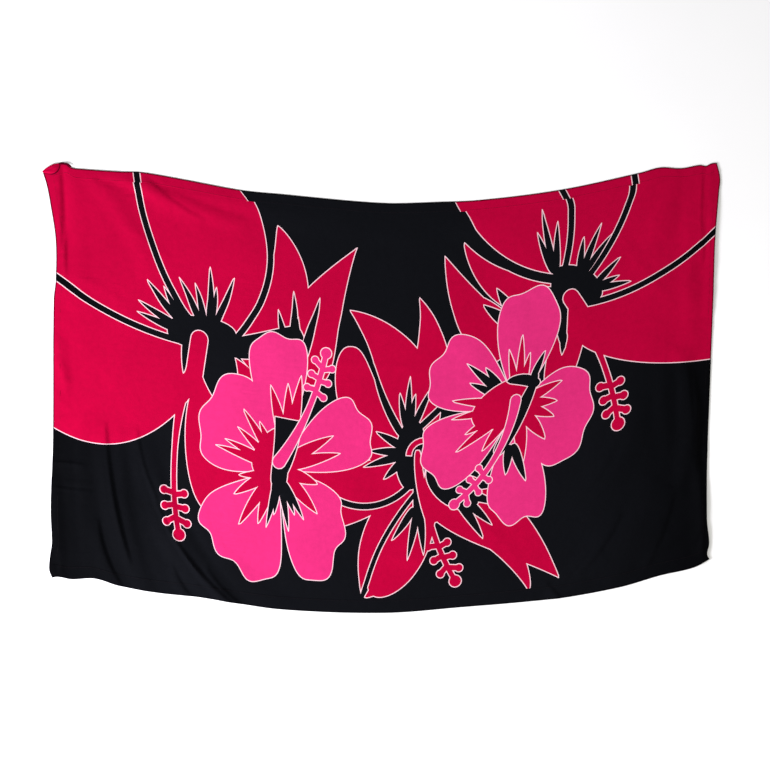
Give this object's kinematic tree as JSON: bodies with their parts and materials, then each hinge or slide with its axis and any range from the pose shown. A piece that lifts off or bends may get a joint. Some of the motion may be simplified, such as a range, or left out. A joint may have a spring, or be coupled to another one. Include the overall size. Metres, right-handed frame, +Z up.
{
  "type": "sarong",
  "caption": "Hemmed rectangular rayon wrap cloth in a bold hibiscus print, laid flat with softly sagging long edges, soft creases and a turned-over corner.",
  "frame": {"origin": "middle of the laid-out cloth's box, at the level of the surface that it lies on", "axes": "+X along the long edges to the right, +Y across the cloth towards its top edge, +Z up from the surface"},
  "size_m": [1.8122, 1.2032, 0.014],
  "materials": {
    "printed_rayon": "soft plain-weave rayon with a low sheen, dyed crimson, pink and black with pale resist lines",
    "hemmed_rayon": "the same rayon turned and stitched down as a hem, a little flatter and stiffer"
  },
  "bodies": {
    "root": {"body_panel": "printed_rayon", "hem_top": "hemmed_rayon", "hem_bottom": "hemmed_rayon", "hem_left": "hemmed_rayon", "hem_right": "hemmed_rayon", "corner_fold": "printed_rayon"}
  },
  "joints": []
}
